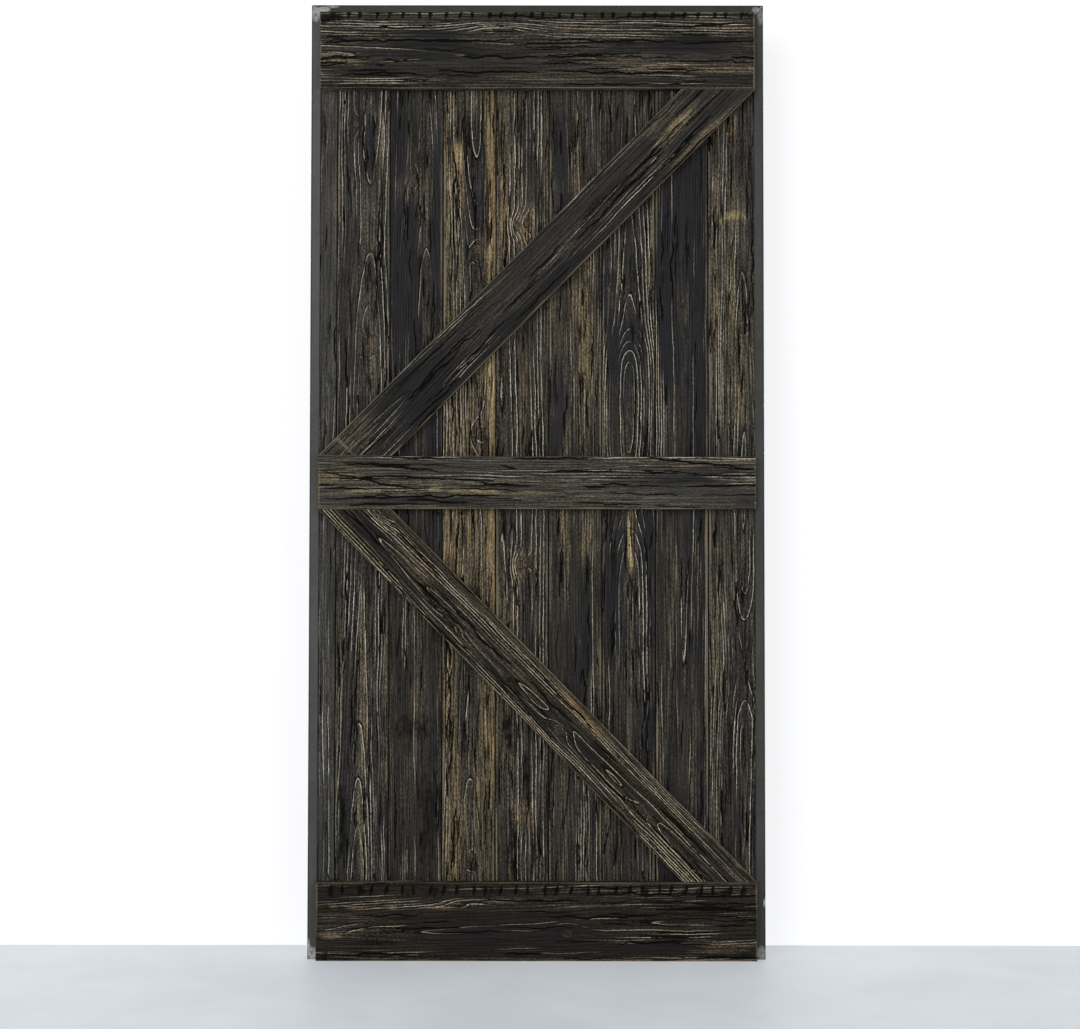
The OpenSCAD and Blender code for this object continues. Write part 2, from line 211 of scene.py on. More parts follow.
RAILS = {
    "top_rail": dict(
        pith=(-8, -14), depth=30, taper=6, ring=5.5, tan=0.14, lines=0.21, cool=0.22,
        eyes=[(-84, 2030, 11)],
        patches=[(-84, 2040, 80, 20, 0.0, 0.35, -0.5), (-215, 2010, 80, 40, -0.15, -0.25, 0.5),
                 (-400, 2052, 90, 14, 0.15, 0.55, -0.3), (-440, 1985, 50, 26, 0.35, 0.1, -0.3),
                 (220, 1964, 210, 30, 0.30, -0.1, -0.3), (-200, 2056, 110, 8, 0.1, 0.6, -0.2),
                 (90, 2052, 60, 10, 0.2, 0.5, -0.2), (400, 2042, 90, 14, 0.1, 0.4, -0.1),
                 (0, 2070, 440, 9, 0.03, -0.3, 0.0), (440, 1965, 40, 30, 0.2, 0.1, -0.2),
                 (330, 2005, 70, 20, -0.1, -0.2, 0.4)],
        burns=[(-450, 2067, 28, 16, 0.78), (468, 2070, 12, 10, 0.7), (250, 2030, 60, 10, 0.4)],
        cracks=[(-262, 2016, 420, -1), (-435, 1978, 74, 4), (-83, 1979, 180, 3), (-320, 1944, 114, 0),
                (-111, 1946, 236, -4), (-346, 1962, 20, 0), (165, 2016, 307, -2), (84, 1981, 146, 0),
                (180, 1945, 336, -2), (455, 1980, 55, 0), (-430, 2012, 90, 8)]),
    "middle_rail": dict(
        pith=(-26, -26), depth=34, taper=10, ring=5, tan=0.24, lines=0.20, cool=0.10, light=0.27,
        warm=-0.6,
        patches=[(-436, 1066, 56, 34, 0.36, -0.1, -0.2), (-380, 1023, 42, 6, 0.75, -0.3, -0.3),
                 (-210, 1084, 260, 12, 0.05, -0.4, 0.05), (-270, 1058, 200, 26, 0.12, 0.05, -0.05),
                 (-287, 1023, 48, 6, 0.7, -0.3, -0.3), (-224, 1025, 15, 5, 0.75, -0.3, -0.3),
                 (-132, 1021, 53, 6, 0.65, -0.1, -0.3), (-260, 1000, 240, 9, -0.25, 0.0, 0.5),
                 (320, 1045, 80, 18, -0.3, -0.2, 0.6), (450, 1038, 34, 16, 0.3, 0.5, -0.1),
                 (60, 1080, 200, 14, 0.16, 0.1, 0.0), (200, 1008, 160, 8, 0.1, 0.4, 0.0),
                 (460, 1000, 30, 14, -0.2, 0.0, 0.5)],
        cracks=[(-287, 1073, 165, -24), (-357, 1044, 245, -40), (-230, 1010, 320, 4),
                (-68, 1035, 120, -10), (-63, 1075, 42, -15), (100, 1063, 185, 2), (256, 1064, 55, -3),
                (358, 1083, 245, -24), (405, 1032, 170, 1), (127, 1030, 50, 0), (-420, 1026, 110, -6),
                (30, 1093, 180, 0)]),
    "bottom_rail": dict(
        pith=(-30, 4), depth=30, taper=-14, ring=5, tan=0.0, lines=0.08, cool=0.28, light=-0.12,
        warm=0.6, foot_wear=1.0,
        swells=[(-440, 60, 60, -4)],
        eyes=[(-141, 124, 9)],
        knots=[(68, 58, 10)],
        patches=[(-260, 127, 210, 8, 0.15, 0.55, -0.1), (-446, 54, 22, 5, 0.6, 0.3, -0.2),
                 (-380, 60, 90, 24, 0.05, 0.5, -0.2), (405, 34, 80, 16, 0.62, 0.0, -0.3),
                 (280, 62, 190, 22, 0.05, 0.4, -0.1), (-442, 117, 8, 6, 0.7, -0.1, -0.3),
                 (-397, 117, 20, 6, 0.6, -0.1, -0.3), (-315, 117, 7, 4, 0.7, -0.1, -0.3),
                 (-213, 119, 32, 6, 0.6, -0.1, -0.3), (260, 120, 200, 10, 0.1, 0.5, 0.0),
                 (-60, 80, 180, 40, -0.1, -0.2, 0.4), (-440, 25, 40, 14, 0.25, 0.0, -0.2),
                 (0, 4, 470, 4, 0.6, 0.0, -0.3), (-20, 30, 120, 18, 0.12, 0.0, -0.1)],
        burns=[(-461, 14, 11, 17, 0.66), (460, 8, 40, 8, 0.6), (-444, 148, 8, 14, 0.7),
               (-384, 150, 14, 12, 0.7), (-279, 148, 8, 14, 0.6), (-219, 146, 8, 15, 0.7),
               (-104, 148, 28, 15, 0.62), (28, 148, 16, 13, 0.6), (108, 150, 12, 12, 0.66),
               (236, 148, 9, 15, 0.7), (351, 146, 9, 15, 0.7), (409, 145, 9, 17, 0.75),
               (450, 148, 16, 13, 0.6)],
        cracks=[(-357, 15, 190, 3), (-30, 14, 90, -2), (250, 40, 160, 3), (120, 95, 200, 0)]),
    "upper_brace": dict(
        pith=(10, 10), depth=36, taper=16, ring=5, tan=0.02, lines=0.13, cool=0.28, warm=-0.2,
        patches=[(300, 1824, 62, 32, 0.54, 0.0, -0.3), (-240, 1250, 70, 60, -0.1, -0.3, 0.6),
                 (346, 1786, 115, 9, 0.8, -0.1, -0.3), (135, 1640, 210, 20, 0.0, 0.35, -0.1),
                 (-400, 1140, 50, 40, 0.3, 0.15, -0.1)],
        cracks=[(-240, 1262, 130, 2), (-200, 1240, 90, -2), (150, 1640, 200, 3), (230, 1720, 160, -3),
                (20, 1530, 120, 3)]),
    "lower_brace": dict(
        pith=(-8, -8), depth=23, taper=-20, ring=4.4, tan=0.10, lines=0.50, cool=0.20, warm=0.8,
        knots=[(-192, 732, 9), (227, 326, 12), (-333, 972, 8), (48, 502, 11)],
        patches=[(-350, 880, 70, 60, -0.1, 0.0, 0.5), (99, 533, 85, 9, 0.6, -0.2, -0.3),
                 (95, 465, 130, 22, -0.2, 0.2, 0.4), (-282, 868, 55, 16, 0.3, 0.1, -0.3),
                 (-170, 829, 270, 20, 0.10, -0.5, -0.2), (342, 370, 240, 20, 0.04, -0.6, 0.0),
                 (287, 238, 150, 14, 0.05, 0.5, -0.2), (265, 300, 60, 22, 0.0, 0.5, 0.0)],
        cracks=[(-120, 700, 200, 2), (320, 280, 160, -2), (30, 560, 140, 2)]),
}

# Wear along each joint between two planks, from the left: on its left and on its right
JOINT_WEAR = ((0.30, 0.70), (0.60, 0.35), (0.50, 0.90), (0.90, 0.65), (0.45, 0.60), (0.90, 0.55),
              (0.55, 0.65), (0.80, 0.95))

# Chop marks along the upper edge of two rails: mm, as in the solids
CHOP_L, CHOP_W, CHOP_D = 26, 8, 3
CHOP_PITCH, CHOP_STRAY, CHOP_LEAN = 31, 4, 9
CHOP_LEAN_SPREAD, SCATTER_STEP = 0.7, 137.5
CHOP_ROWS = {"top_rail": (5, 0), "bottom_rail": (17, len(PLANKS))}


class Board:
    """A board's own axes: along the grain, across it and out of its face, with its box in mm."""

    def __init__(self, name, along, across, middle, length, width, face, back):
        self.name = name
        self.along, self.across = Vector(along), Vector(across)
        self.out = Vector((0, -1, 0))
        self.middle = Vector(middle)
        self.length, self.width = length * MM, width * MM
        self.face, self.back = face * MM, back * MM
        self.seed = sum(ord(c) * (k + 3) for k, c in enumerate(name))

    def local(self, points):
        """Points in metres to (along, across, out) in mm, out counted from the origin's plane."""
        flat = (points - np.array(self.middle)) * MM
        axes = np.array([self.along, self.across, self.out])
        return (flat @ axes.T).T

    def spot(self, x, z):
        """Place (along, across) in mm of a point given by x and z in mm."""
        offset = Vector((x / MM, 0, z / MM)) - self.middle
        return offset.dot(self.along) * MM, offset.dot(self.across) * MM


# Length of a knot's swirl and of an eye against its breadth
KNOT_STRETCH, EYE_STRETCH = 1.5, 3.2
# Reach of a swirl along and across, in its own half sizes, and how far it draws the grain in
SWIRL_L, SWIRL_W, SWIRL_DRAW = 2.6, 2.2, 0.85
# Year rings that a knot or an eye adds to the grain round it
KNOT_PULL, EYE_PULL = 1.6, -1.8
# Rings inside a knot, counted over its radius, and the part of a year at its middle
KNOT_RINGS, KNOT_START = 2.6, 0.75
# Least depth of the heart in mm, and the ring that the count starts from
LEAST_DEPTH, FIRST_RING = 4, 20


def growth_field(board, wood, a, c, w):
    """Year rings counted from the heart, and the mask of knot cores, at each vertex."""
    seed = board.seed
    knot_mask = np.zeros_like(a)
    own_rings = np.zeros_like(a)
    pull = np.zeros_like(a)
    c_bent = c.copy()
    spots = [(*knot, KNOT_STRETCH, KNOT_PULL, True) for knot in wood.get("knots", [])]
    spots += [(*eye, EYE_STRETCH, EYE_PULL, False) for eye in wood.get("eyes", [])]
    for k, (x, z, radius, stretch, added, cored) in enumerate(spots):
        a0, c0 = board.spot(x, z)
        da, dc = (a - a0) / (radius * stretch), (c - c0) / radius
        reach = np.exp(-(da / SWIRL_L) ** 2 - (dc / SWIRL_W) ** 2)
        c_bent = c_bent - (c - c0) * SWIRL_DRAW * reach
        pull = pull + added * reach
        if not cored:
            continue
        rho = np.sqrt(da ** 2 + dc ** 2) * (1 + 0.12 * noise(da * 2, dc * 2, seed + k))
        core = 1 - ramp(rho, 0.75, 1.1)
        knot_mask = np.maximum(knot_mask, core)
        own_rings = np.where(core > 0.5, rho * KNOT_RINGS + KNOT_START, own_rings)
    c_bent = c_bent + 1.8 * layered(a / 120, c / 20, seed + 3, 2) + 0.7 * noise(a / 22, c / 6, seed + 4)
    t = a / MM
    heart_start, heart_end = wood["pith"]
    heart = heart_start + (heart_end - heart_start) * (a / board.length + 0.5)
    heart = heart + 4 * noise(t * 2.3, t * 0 + 3.7, seed + 1)
    depth = wood["depth"] + wood["taper"] * t + 3 * layered(t * 2.1, t * 0 + 9.1, seed + 2, 2)
    for x, z, half_length, rise in wood.get("swells", []):
        depth = depth + rise * np.tanh((a - board.spot(x, z)[0]) / half_length)
    depth = np.maximum(depth, LEAST_DEPTH) + (board.face - w)
    rings = np.hypot(c_bent - heart, depth) / wood["ring"]
    return np.where(knot_mask > 0.5, own_rings, rings + pull + FIRST_RING), knot_mask


# Rings to a mm of face: the fewest and the most that are drawn
FEWEST_RINGS_PER_MM, MOST_RINGS_PER_MM = 0.02, 0.24


def ring_rate(board, wood, a, c, w, rings):
    """Rings to a mm of face, from the count a little further along and across."""
    along = (growth_field(board, wood, a + 2, c, w)[0] - rings) / 2
    across = growth_field(board, wood, a, c + 1, w)[0] - rings
    return np.clip(np.hypot(along, across), FEWEST_RINGS_PER_MM, MOST_RINGS_PER_MM)


# Stray of a mark's border as a share of its half size, and the tan of wood rubbed bare
RAGGED, MOST_TAN = 0.4, 1.6
# How far the shares of tan, lined and blue-black surface stray from a board's mean
TAN_STRAY, LINES_STRAY, COOL_STRAY = 0.22, 0.26, 0.30


def stain_field(board, wood, a, c):
    """Shares of tan, lined and blue-black surface at each vertex."""
    seed = board.seed
    tan = wood["tan"] + TAN_STRAY * layered(a / 420, c / 22, seed + 5, 3)
    lines = wood["lines"] + LINES_STRAY * layered(a / 260, c / 18, seed + 6, 3)
    cool = wood["cool"] + COOL_STRAY * layered(a / 300, c / 45, seed + 7, 3)
    for px, pz, half_w, half_h, more_tan, more_lines, more_cool in wood.get("patches", []):
        a0, c0 = board.spot(px, pz)
        half_a, half_c = (half_h, half_w) if board.along.x == 0 else (half_w, half_h)
        da = a - a0 + RAGGED * half_a * noise(c / 5, a / 300, seed + 13)
        dc = c - c0 + RAGGED * half_c * noise(a / 50, c / 30, seed + 14)
        weight = np.exp(-(da / half_a) ** 4 - (dc / half_c) ** 2)
        tan = tan + more_tan * weight
        lines = lines + more_lines * weight
        cool = cool + more_cool * weight
    return np.clip(tan, 0, MOST_TAN), np.clip(lines, 0, 1), np.clip(cool, 0, 1)


# Chance cracks: face area for each in mm2, and their least and greatest length in mm
PLANK_CRACKS, RAIL_CRACKS = (2600, 25, 120), (4500, 50, 220)
# Half width of a chance crack, how much wider the widest are, its drift across and its sway, in mm
CRACK_HALF_W, CRACK_WIDER, CRACK_DRIFT, CRACK_SWAY = 1.1, 1.4, 2.5, 2.6
# Half width and sway of the cracks that a board lists, and length of a wave in any crack, in mm
LISTED_HALF_W, LISTED_SWAY, CRACK_WAVE = 2.5, 2.8, 34


def crack_field(board, wood, a, c, chance_cracks):
    """Depth share of the drying cracks, which run with the grain."""
    rng = np.random.default_rng(board.seed)
    depth = np.zeros_like(a)
    area, shortest, longest = chance_cracks
    cracks = []
    for _ in range(int(wood.get("dry", 1.0) * board.length * board.width / area)):
        length = rng.uniform(shortest, longest)
        a0 = rng.uniform(-0.5, 0.5) * board.length
        c0 = rng.uniform(-0.48, 0.48) * board.width
        half_w = CRACK_HALF_W + CRACK_WIDER * rng.uniform(0, 1) ** 2
        cracks.append((a0, c0, length, rng.normal(0, CRACK_DRIFT), half_w, CRACK_SWAY))
    for x, z, length, drift in wood.get("cracks", []):
        cracks.append((*board.spot(x, z), length, drift, LISTED_HALF_W, LISTED_SWAY))
    for k, (a0, c0, length, drift, half_w, sway) in enumerate(cracks):
        t = (a - a0) / length
        near = np.abs(t) < 0.5
        tt = t[near]
        wave = sway * layered(a[near] / CRACK_WAVE, tt * 0 + k, board.seed + 8, 3)
        line = c0 + drift * tt + wave
        half = half_w * np.sqrt(np.cos(np.pi * tt)) + 0.3
        across = 1 - ramp(np.abs(c[near] - line) / half, 0.35, 1.2)
        depth[near] = np.maximum(depth[near], across * ramp(0.5 - np.abs(tt), 0, 0.06))
    return depth


def chop_field(board, x, z):
    """Depth in mm of the chop marks along a rail's upper edge, below 0 around them."""
    depth = np.full_like(x, -CHOP_D)
    if board.name not in CHOP_ROWS:
        return depth
    drop, seed = CHOP_ROWS[board.name]
    radius = ((CHOP_L / 2) ** 2 + CHOP_D ** 2) / (2 * CHOP_D)
    z0 = board.middle.z * MM + board.width / 2 - drop
    count = int(board.length // CHOP_PITCH)
    for i in range(count):
        turn = math.radians((i + seed) * SCATTER_STEP)
        x0 = (i - (count - 1) / 2) * CHOP_PITCH + math.sin(turn) * CHOP_STRAY
        lean = math.radians(CHOP_LEAN * (1 + CHOP_LEAN_SPREAD * math.cos(2 * turn)))
        near = (np.abs(x - x0) < CHOP_L) & (np.abs(z - z0) < CHOP_L)
        dx, dz = x[near] - x0, z[near] - z0
        s = dx * math.cos(lean) - dz * math.sin(lean)
        t = dx * math.sin(lean) + dz * math.cos(lean)
        edge = np.maximum(radius - CHOP_D * np.abs(s) / (CHOP_W / 2), 0)
        cut = np.sqrt(np.maximum(edge ** 2 - t ** 2, 0)) - (radius - CHOP_D)
        depth[near] = np.maximum(depth[near], cut)
    return depth


# Late wood line, in mm across the face from its middle: where it starts, is full, drops and ends
LINE_START, LINE_FULL, LINE_DROP, LINE_END = -1.4, -0.5, 0.4, 0.9


def line_distance(rings, rate):
    """Distance in mm from the middle of the nearest late wood line."""
    return (rings - np.floor(rings) - 0.5) / rate


def line_height(distance):
    """Brushed late wood: it rises slowly and drops steeply at the year's end."""
    return ramp(distance, LINE_START, LINE_FULL) * (1 - ramp(distance, LINE_DROP, LINE_END))


def plank_mesh(board, left_joint, right_joint):
    """Plank drawn from its tongue and groove section, with close rows of points on its faces."""
    x0, x1 = -board.width / 2 / MM, board.width / 2 / MM
    front, back = -board.face / MM, -board.back / MM
    lf, lb = (FACE_CHAMFER, BACK_CHAMFER) if left_joint else (0, 0)
    rf, rb = (FACE_CHAMFER, BACK_CHAMFER) if right_joint else (0, 0)
    section = [(x0, front + lf), (x0 + lf, front)] if left_joint else [(x0, front)]
    section += [(x1 - rf, front), (x1, front + rf)] if right_joint else [(x1, front)]
    if right_joint:
        tongue = TONGUE_T / 2
        section += [(x1, -tongue), (x1 + TONGUE_L, -tongue), (x1 + TONGUE_L, tongue), (x1, tongue)]
    section += [(x1, back - rb), (x1 - rb, back)] if right_joint else [(x1, back)]
    section += [(x0 + lb, back), (x0, back - lb)] if left_joint else [(x0, back)]
    if left_joint:
        groove = TONGUE_T / 2 + TONGUE_PLAY
        section += [(x0, groove), (x0 + TONGUE_L, groove), (x0 + TONGUE_L, -groove), (x0, -groove)]
    bm = bmesh.new()
    foot = board.middle.z - board.length / 2 / MM
    outline = [bm.verts.new((board.middle.x + x, y, foot)) for x, y in section]
    grown = bmesh.ops.extrude_face_region(bm, geom=[bm.faces.new(outline)], use_keep_orig=True)
    top = [g for g in grown["geom"] if isinstance(g, bmesh.types.BMVert)]
    bmesh.ops.translate(bm, verts=top, vec=(0, 0, board.length / MM))
    add_rows(bm, board)
    return bm


def rail_mesh(board, corners):
    """Rail or brace drawn from the outline of its face, with its face edges eased."""
    bm = bmesh.new()
    outline = [bm.verts.new(corner) for corner in corners]
    grown = bmesh.ops.extrude_face_region(bm, geom=[bm.faces.new(outline)], use_keep_orig=True)
    front = [g for g in grown["geom"] if isinstance(g, bmesh.types.BMVert)]
    bmesh.ops.translate(bm, verts=front, vec=(0, -(board.face - board.back) / MM, 0))
    rim_shade = [e for e in bm.edges if all(v in front for v in e.verts)]
    bmesh.ops.bevel(bm, geom=rim_shade, offset=RAIL_ARRIS, offset_type="OFFSET", segments=2,
                    profile=0.5, affect="EDGES", material=-1)
    add_rows(bm, board)
    return bm


# Points this near a plane lie on it, in metres
SAME_PLANE = 1e-6


def add_rows(bm, board):
    """Splits the long edges along the grain, then the face and the back across it."""
    half = board.length / MM / 2
    along = [e for e in bm.edges
             if abs((e.verts[0].co - e.verts[1].co).dot(board.along)) > half
             and abs((e.verts[0].co - e.verts[1].co).dot(board.across)) < half / 20]
    step = CHOPPED_STEP if board.name in CHOP_ROWS else GRAIN_STEP
    bmesh.ops.subdivide_edges(bm, edges=along, cuts=int(board.length / MM / step), use_grid_fill=True)
    for level, step in ((board.face, FACE_STEP), (board.back, BACK_STEP)):
        y = -level / MM
        wide = [e for e in bm.edges
                if all(abs(v.co.y - y) < SAME_PLANE for v in e.verts)
                and abs((e.verts[0].co - e.verts[1].co).dot(board.across)) > board.width / MM / 3]
        if wide:
            bmesh.ops.subdivide_edges(bm, edges=wide, cuts=int(board.width / MM / step),
                                      use_grid_fill=True)
    bmesh.ops.recalc_face_normals(bm, faces=bm.faces)


# Wear reaches further at a board's ends: distances from them count by this factor
END_FADE = 0.8


def face_wear(board, a, c, low_edge, high_edge, ends, reach, seed):
    """Wear along the face's edges, each with its own strength, broken up along them."""
    reach = reach * (1 + 0.45 * noise(a / 190, c / 60, seed + 2))
    low = low_edge * np.exp(-((c + board.width / 2) / reach) ** 2)
    high = high_edge * np.exp(-((c - board.width / 2) / reach) ** 2)
    end = ends * np.exp(-((np.abs(a) - board.length / 2) * END_FADE / reach) ** 2)
    broken = 0.95 + 0.55 * layered(a / 110, c / 60, seed, 3) + 0.5 * noise(a / 420, c / 60, seed + 1)
    return np.clip(np.maximum(np.maximum(low, high), end) * broken, 0, 1)


# Relief in mm: depth brushed out of the early wood, mean depth of the face's unevenness, least depth
# of the face, depth of a crack, and least depth of the back
BRUSH_DEPTH, UNEVEN, LEAST_RELIEF, CRACK_DEPTH, BACK_RELIEF = 0.5, 0.25, 0.02, 1.8, 0.2
# Rings to a mm from which the brush finds less early wood to take
CLOSE_RINGS = 0.12


def brushed_relief(board, a, c, rings, rate, lines, knots, cracks, chops):
    """Depth in mm to which the face is brushed, cracked and chopped."""
    early = 1 - line_height(line_distance(rings, rate))
    brushed = BRUSH_DEPTH * (1 - ramp(rate, CLOSE_RINGS, MOST_RINGS_PER_MM))
    relief = brushed * early * (0.35 + 0.65 * lines) * (1 - knots)
    relief = relief + UNEVEN + UNEVEN * layered(a / 160, c / 30, board.seed + 11, 2)
    return np.maximum(relief, LEAST_RELIEF) + CRACK_DEPTH * cracks + np.maximum(chops, 0)


def shaded_and_burnt_share(board, wood, x, z, dark):
    """Share of black at each vertex: the board's burns added to the painted shade of chops and plank
    sides already in it.
    """
    for px, pz, half_w, half_h, strength in wood.get("burns", []):
        dx = (x - px) / half_w + RAGGED * noise(z / 24, x / 9, board.seed + 15)
        dz = (z - pz) / half_h + RAGGED * noise(x / 5, z / 40, board.seed + 16)
        spot = np.exp(-dx ** 4 - dz ** 4)
        dark = np.maximum(dark, strength * spot * (1 + 0.3 * noise(x / 6, z / 6, board.seed + 12)))
    return np.clip(dark, 0, 1)


def hue_shift(wood, x, z):
    """Warmth of the stain at each vertex."""
    warmth = np.full_like(x, wood.get("warm", 0.0))
    for px, pz, half_w, half_h, rise in wood.get("rusts", []):
        warmth = warmth + rise * np.exp(-((x - px) / half_w) ** 4 - ((z - pz) / half_h) ** 4)
    return warmth


# A vertex this near a board's face or back lies on it, in mm
ON_PLANE = 0.01
# Faces that meet at a greater angle keep a sharp edge, in degrees
SHARP_ANGLE = 40


def finish_board(bm, board, wood, material, chance_cracks, free_edges, side_wear):
    """Brushes the faces into relief and stores what the wood material reads at each vertex."""
    mesh = bpy.data.meshes.new(board.name + "_wood")
    bm.to_mesh(mesh)
    bm.free()
    points = np.empty(len(mesh.vertices) * 3, np.float32)
    mesh.vertices.foreach_get("co", points)
    points = points.reshape(-1, 3).astype(float)
    a, c, w = board.local(points)
    x, z = points[:, 0] * MM, points[:, 2] * MM
    on_face = w > board.face - ON_PLANE
    on_back = w < board.back + ON_PLANE
    rings, knots = growth_field(board, wood, a, c, w)
    rate = ring_rate(board, wood, a, c, w, rings)
    tan, lines, cool = stain_field(board, wood, a, c)
    cracks = crack_field(board, wood, a, c, chance_cracks) * on_face
    chops = np.where(on_face, chop_field(board, x, z), -CHOP_D)
    relief = brushed_relief(board, a, c, rings, rate, lines, knots, cracks, chops)
    points[:, 1] += np.where(on_face, relief / MM, 0)
    points[:, 1] -= np.where(on_back, np.maximum(0.5 * relief, BACK_RELIEF) / MM, 0)
    mesh.vertices.foreach_set("co", points.astype(np.float32).ravel())
    edge = face_wear(board, a, c, *free_edges, board.seed + 9)
    side = np.clip(side_wear + 0.3 * noise(a / 60, w / 9, board.seed + 10), 0, 1)
    edge = np.where(on_face, edge, np.where(on_back, 0.0, side))
    # Chop marks, and a little round them, painted dark: painted shade in the gouges.
    dark = ramp(chops, -0.9, 0.3)
    # Plank sides, which meet in the joints, painted black: painted shade in the gaps between planks.
    if side_wear == 0:
        dark = np.where(on_face | on_back, dark, 1.0)
    dark = shaded_and_burnt_share(board, wood, x, z, dark)
    light = np.full_like(a, wood.get("light", 0.0))
    store(mesh, "ring", "FLOAT", rings)
    store(mesh, "ring_rate", "FLOAT", rate)
    store(mesh, "grain", "FLOAT_VECTOR", np.stack([a, c, w], 1) / MM)
    store(mesh, "stain", "FLOAT_COLOR", np.stack([tan, lines, cool, knots], 1))
    store(mesh, "marks", "FLOAT_COLOR", np.stack([edge, cracks, dark, light], 1))
    store(mesh, "warmth", "FLOAT", hue_shift(wood, x, z))
    mesh.polygons.foreach_set("use_smooth", np.ones(len(mesh.polygons), bool))
    mesh.set_sharp_from_angle(angle=math.radians(SHARP_ANGLE))
    mesh.update()
    piece = bpy.data.objects.new(board.name + "_wood", mesh)
    bpy.context.scene.collection.objects.link(piece)
    mesh.materials.append(material)
    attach(piece, "root")
    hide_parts(board.name)


def store(mesh, name, kind, values):
    """Attribute with one value to a vertex."""
    layer = mesh.attributes.new(name, kind, "POINT")
    field = {"FLOAT": "value", "FLOAT_VECTOR": "vector", "FLOAT_COLOR": "color"}[kind]
    layer.data.foreach_set(field, np.ascontiguousarray(values, np.float32).ravel())


# Node helpers

def linear(srgb):
    """Linear colour of an sRGB value from 0 to 255."""
    parts = [v / 255 for v in srgb]
    parts = [v / 12.92 if v <= 0.04045 else ((v + 0.055) / 1.055) ** 2.4 for v in parts]
    return (*parts, 1.0)


class Sheet:
    """A node tree with short calls for the nodes that the materials share."""

    def __init__(self, tree):
        self.tree = tree

    def node(self, kind, **settings):
        made = self.tree.nodes.new(kind)
        for name, value in settings.items():
            setattr(made, name, value)
        return made

    def feed(self, socket, value):
        """Links a socket's value, or sets a plain one."""
        if isinstance(value, bpy.types.NodeSocket):
            self.tree.links.new(value, socket)
        else:
            socket.default_value = value

    def math(self, operation, *values, clamp=False):
        made = self.node("ShaderNodeMath", operation=operation, use_clamp=clamp)
        for socket, value in zip(made.inputs, values):
            self.feed(socket, value)
        return made.outputs[0]

    def plus(self, a, b):
        return self.math("ADD", a, b)

    def minus(self, a, b):
        return self.math("SUBTRACT", a, b)

    def times(self, a, b):
        return self.math("MULTIPLY", a, b)

    def scaled(self, value, factor, offset, clamp=False):
        """The value times a factor, with an offset added."""
        return self.math("MULTIPLY_ADD", value, factor, offset, clamp=clamp)

    def product(self, a, b):
        """Two vectors or colours multiplied part by part."""
        made = self.node("ShaderNodeVectorMath", operation="MULTIPLY")
        self.feed(made.inputs[0], a)
        self.feed(made.inputs[1], b)
        return made.outputs[0]

    def parts(self, colour):
        """Red, green and blue of a colour."""
        made = self.node("ShaderNodeSeparateColor")
        self.feed(made.inputs[0], colour)
        return made.outputs

    def ramp(self, value, low, high):
        made = self.node("ShaderNodeMapRange", interpolation_type="SMOOTHSTEP")
        self.feed(made.inputs["Value"], value)
        self.feed(made.inputs["From Min"], low)
        self.feed(made.inputs["From Max"], high)
        return made.outputs["Result"]

    def mix(self, factor, a, b):
        made = self.node("ShaderNodeMix", data_type="RGBA")
        self.feed(made.inputs[0], factor)
        self.feed(made.inputs[6], a)
        self.feed(made.inputs[7], b)
        return made.outputs[2]

    def noise(self, vector, scale, detail, rough):
        """Noise along a vector whose axes are first stretched by scale."""
        made = self.node("ShaderNodeTexNoise")
        self.feed(made.inputs["Vector"], self.product(vector, scale))
        made.inputs["Scale"].default_value = 1.0
        made.inputs["Detail"].default_value = detail
        made.inputs["Roughness"].default_value = rough
        return made.outputs["Fac"]

    def attribute(self, name):
        return self.node("ShaderNodeAttribute", attribute_name=name).outputs

    def object_place(self):
        return self.node("ShaderNodeTexCoord").outputs["Object"]

    def group(self, tree, **inputs):
        made = self.node("ShaderNodeGroup", node_tree=tree)
        for name, value in inputs.items():
            self.feed(made.inputs[name], value)
        return made.outputs

    def bump(self, height, strength, distance_mm):
        made = self.node("ShaderNodeBump")
        made.inputs["Strength"].default_value = strength
        made.inputs["Distance"].default_value = distance_mm / MM
        self.feed(made.inputs["Height"], height)
        return made.outputs["Normal"]

    def principled(self, **sockets):
        """Principled shader as the material's surface, with these sockets fed."""
        made = self.node("ShaderNodeBsdfPrincipled")
        for name, value in sockets.items():
            self.feed(made.inputs[name.replace("_", " ")], value)
        self.surface(made.outputs[0])

    def surface(self, shader):
        self.feed(self.node("ShaderNodeOutputMaterial").inputs["Surface"], shader)


def new_group(name, inputs, outputs):
    """Shader group with named sockets: (name, kind) pairs."""
    tree = bpy.data.node_groups.new(name, "ShaderNodeTree")
    for label, kind in inputs:
        tree.interface.new_socket(label, in_out="INPUT", socket_type="NodeSocket" + kind)
    for label, kind in outputs:
        tree.interface.new_socket(label, in_out="OUTPUT", socket_type="NodeSocket" + kind)
    sheet = Sheet(tree)
    return tree, sheet, sheet.node("NodeGroupInput").outputs, sheet.node("NodeGroupOutput").inputs


def new_material(name):
    material = bpy.data.materials.new(name)
    material.use_nodes = True
    material.node_tree.nodes.clear()
    return material, Sheet(material.node_tree)


# Wood

# Noise of the fibre: repeats per metre along the grain, across it and into the board, detail and
# roughness, then the values where the mask starts and is full
FIBRES = {
    "Fine": ((170, 430, 430), 1.0, 0.5, 0.28, 0.72),
    "Streak": ((6, 280, 280), 2.0, 0.6, 0.30, 0.70),
    "Cloud": ((6, 26, 26), 3.0, 0.55, 0.30, 0.70),
    "Vein": ((4.5, 70, 70), 2.0, 0.5, 0.30, 0.70),
    "Pore": ((13, 330, 310), 1.0, 0.5, 0.44, 0.34),
    "Hair": ((16, 370, 350), 1.0, 0.5, 0.56, 0.68),
}

# Groove brushed out beside a late wood line, in mm across the face: where it is full, fades and ends
GROOVE_FULL, GROOVE_FADE, GROOVE_END = LINE_END + 0.4, LINE_END + 0.9, LINE_END + 3.4
